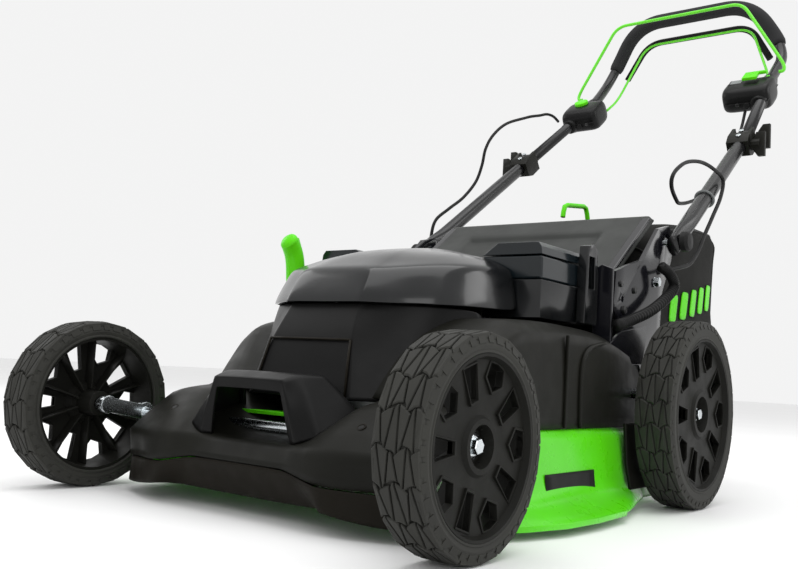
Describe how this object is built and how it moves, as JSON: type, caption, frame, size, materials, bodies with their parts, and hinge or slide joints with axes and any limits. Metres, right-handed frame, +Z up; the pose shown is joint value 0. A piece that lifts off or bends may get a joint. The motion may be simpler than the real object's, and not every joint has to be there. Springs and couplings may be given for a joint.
{
  "type": "push lawn mower",
  "caption": "Walk-behind battery lawn mower with a steel deck, moulded covers, grass bag and a folding handle with bail levers.",
  "frame": {"origin": "on the ground under the middle of the whole mower", "axes": "+Z up, +Y from the front wheels towards the handle, +X towards the mower's left side"},
  "size_m": [0.608, 1.4484, 1.0239],
  "materials": {
    "deck_green": "gloss powder coat",
    "body_black": "fine moulded grain",
    "apron_black": "moulded grain",
    "satin_black": "satin moulding",
    "gloss_black": "polished moulding",
    "flap_grey": "grey moulding",
    "control_green": "bright moulding",
    "bail_green": "coated rod",
    "bail_black": "moulded grip on a wire",
    "handle_black": "gloss powder coat",
    "bracket_black": "gloss powder coat",
    "steel_black": "black coated wire",
    "steel": "ground",
    "zinc": "bright zinc plate",
    "cast_aluminium": "as cast",
    "tyre": "moulded rubber",
    "rim_black": "moulded grain",
    "foam": "closed-cell foam",
    "bag_fabric": "woven polyester",
    "cable_rubber": "smooth jacket"
  },
  "bodies": {
    "chassis": {"deck_shell": "deck_green", "body_cover": "body_black", "front_apron": "apron_black", "carry_handle": "satin_black", "motor_hood": "satin_black", "front_grille": "body_black", "hood_cap": "gloss_black", "battery_bay": "gloss_black", "battery_pack": "body_black", "safety_key": "control_green", "lid_post": "gloss_black", "motor_housing": "cast_aluminium", "handle_bracket_left": "bracket_black", "handle_bracket_right": "bracket_black", "pivot_bolt_left": "zinc", "pivot_bolt_right": "zinc", "chute_hinge_rod": "steel_black", "flap_rod": "steel", "cable_conduit": "cable_rubber"},
    "rotor": {"motor_shaft": "steel", "blade_adapter": "cast_aluminium", "blade": "steel", "blade_bolt": "zinc"},
    "height_lever": {"height_lever": "control_green"},
    "height_link": {"height_link": "zinc"},
    "front_crank": {"front_axle": "zinc"},
    "rear_crank": {"rear_axle": "zinc", "drive_gearbox": "cast_aluminium"},
    "battery_lid": {"battery_lid": "gloss_black"},
    "chute_door": {"chute_door": "body_black"},
    "rear_flap": {"rear_flap": "flap_grey"},
    "grass_bag": {"grass_bag": "bag_fabric", "bag_frame": "steel_black", "bag_handle": "control_green"},
    "lower_handle": {"lower_handle_left": "handle_black", "lower_handle_right": "handle_black", "clamp_left": "body_black", "clamp_right": "body_black", "cable_left": "cable_rubber", "cable_right": "cable_rubber"},
    "knob_left": {"knob_left": "body_black"},
    "knob_right": {"knob_right": "body_black"},
    "lock_knob_left": {"lock_knob_left": "body_black"},
    "lock_knob_right": {"lock_knob_right": "body_black"},
    "upper_handle": {"upper_handle": "handle_black", "foam_grip": "foam", "control_box_left": "gloss_black", "control_box_right": "gloss_black"},
    "start_button": {"start_button": "control_green"},
    "speed_lever": {"speed_lever": "control_green"},
    "blade_bail": {"blade_bail": "bail_green"},
    "drive_bail": {"drive_bail": "bail_black"},
    "wheel_front_left": {"tyre_front_left": "tyre", "rim_front_left": "rim_black"},
    "wheel_front_right": {"tyre_front_right": "tyre", "rim_front_right": "rim_black"},
    "wheel_rear_left": {"tyre_rear_left": "tyre", "rim_rear_left": "rim_black"},
    "wheel_rear_right": {"tyre_rear_right": "tyre", "rim_rear_right": "rim_black"}
  },
  "joints": [
    {"name": "height_lever_turn", "type": "hinge", "parent": "chassis", "child": "height_lever", "pos_m": [-0.215, -0.33275, 0.162], "axis": [1, 0, 0], "range_deg": [-18, 18]},
    {"name": "front_crank_turn", "type": "hinge", "parent": "chassis", "child": "front_crank", "pos_m": [0, -0.56775, 0.092], "axis": [1, 0, 0], "range_deg": [-18, 18]},
    {"name": "rear_crank_turn", "type": "hinge", "parent": "chassis", "child": "rear_crank", "pos_m": [0, -0.11775, 0.15], "axis": [1, 0, 0], "range_deg": [-18, 18]},
    {"name": "height_link_slide", "type": "slide", "parent": "chassis", "child": "height_link", "axis": [0, 1, 0], "range_m": [-0.0045, 0.0045]},
    {"name": "front_left_wheel_spin", "type": "hinge", "parent": "front_crank", "child": "wheel_front_left", "pos_m": [0.2785, -0.62275, 0.1015], "axis": [1, 0, 0], "continuous": true},
    {"name": "front_right_wheel_spin", "type": "hinge", "parent": "front_crank", "child": "wheel_front_right", "pos_m": [-0.2785, -0.62275, 0.1015], "axis": [1, 0, 0], "continuous": true},
    {"name": "rear_left_wheel_spin", "type": "hinge", "parent": "rear_crank", "child": "wheel_rear_left", "pos_m": [0.2785, -0.06325, 0.127], "axis": [1, 0, 0], "continuous": true},
    {"name": "rear_right_wheel_spin", "type": "hinge", "parent": "rear_crank", "child": "wheel_rear_right", "pos_m": [-0.2785, -0.06325, 0.127], "axis": [1, 0, 0], "continuous": true},
    {"name": "blade_spin", "type": "hinge", "parent": "chassis", "child": "rotor", "pos_m": [0, -0.35775, 0.046], "axis": [0, 0, 1], "continuous": true},
    {"name": "battery_lid_hinge", "type": "hinge", "parent": "chassis", "child": "battery_lid", "pos_m": [0, -0.19075, 0.304], "axis": [-1, 0, 0], "range_deg": [0, 75]},
    {"name": "chute_door_hinge", "type": "hinge", "parent": "chassis", "child": "chute_door", "pos_m": [-0.242, -0.35775, 0.094], "axis": [0, 1, 0], "range_deg": [0, 80], "stiffness_Nm_per_rad": 0.15},
    {"name": "rear_flap_hinge", "type": "hinge", "parent": "chassis", "child": "rear_flap", "pos_m": [0, -0.14875, 0.276], "axis": [-1, 0, 0], "range_deg": [-55, 0]},
    {"name": "bag_slide", "type": "slide", "parent": "chassis", "child": "grass_bag", "axis": [0, 1, 0], "range_m": [0, 0.12]},
    {"name": "handle_fold", "type": "hinge", "parent": "chassis", "child": "lower_handle", "pos_m": [0, 0.00525, 0.376], "axis": [-1, 0, 0], "range_deg": [-90, 0]},
    {"name": "upper_handle_fold", "type": "hinge", "parent": "lower_handle", "child": "upper_handle", "pos_m": [0, 0.35525, 0.618], "axis": [-1, 0, 0], "range_deg": [-75, 0]},
    {"name": "knob_left_turn", "type": "hinge", "parent": "lower_handle", "child": "knob_left", "pos_m": [0.254, 0.35525, 0.618], "axis": [1, 0, 0], "range_deg": [0, 180]},
    {"name": "knob_right_turn", "type": "hinge", "parent": "lower_handle", "child": "knob_right", "pos_m": [-0.254, 0.35525, 0.618], "axis": [1, 0, 0], "range_deg": [0, 180]},
    {"name": "lock_knob_left_turn", "type": "hinge", "parent": "lower_handle", "child": "lock_knob_left", "pos_m": [0.254, 0.32525, 0.597], "axis": [1, 0, 0], "range_deg": [0, 180]},
    {"name": "lock_knob_right_turn", "type": "hinge", "parent": "lower_handle", "child": "lock_knob_right", "pos_m": [-0.254, 0.32525, 0.597], "axis": [1, 0, 0], "range_deg": [0, 180]},
    {"name": "blade_bail_hinge", "type": "hinge", "parent": "upper_handle", "child": "blade_bail", "pos_m": [0, 0.58225, 0.812], "axis": [-1, 0, 0], "range_deg": [0, 20], "stiffness_Nm_per_rad": 1.5},
    {"name": "drive_bail_hinge", "type": "hinge", "parent": "upper_handle", "child": "drive_bail", "pos_m": [0, 0.61725, 0.79], "axis": [1, 0, 0], "range_deg": [0, 7], "stiffness_Nm_per_rad": 1.5},
    {"name": "start_button_press", "type": "slide", "parent": "upper_handle", "child": "start_button", "axis": [0, 0.6021, -0.7984], "range_m": [0, 0.0025], "stiffness_N_per_m": 400},
    {"name": "speed_lever_slide", "type": "slide", "parent": "upper_handle", "child": "speed_lever", "axis": [0, 0.7984, 0.6021], "range_m": [-0.008, 0.008]}
  ],
  "couplings": [
    {"joint": "front_crank_turn", "follows": "height_lever_turn", "ratio": -1},
    {"joint": "rear_crank_turn", "follows": "height_lever_turn", "ratio": 1},
    {"joint": "height_link_slide", "follows": "height_lever_turn", "m_per_rad": 0.014}
  ]
}
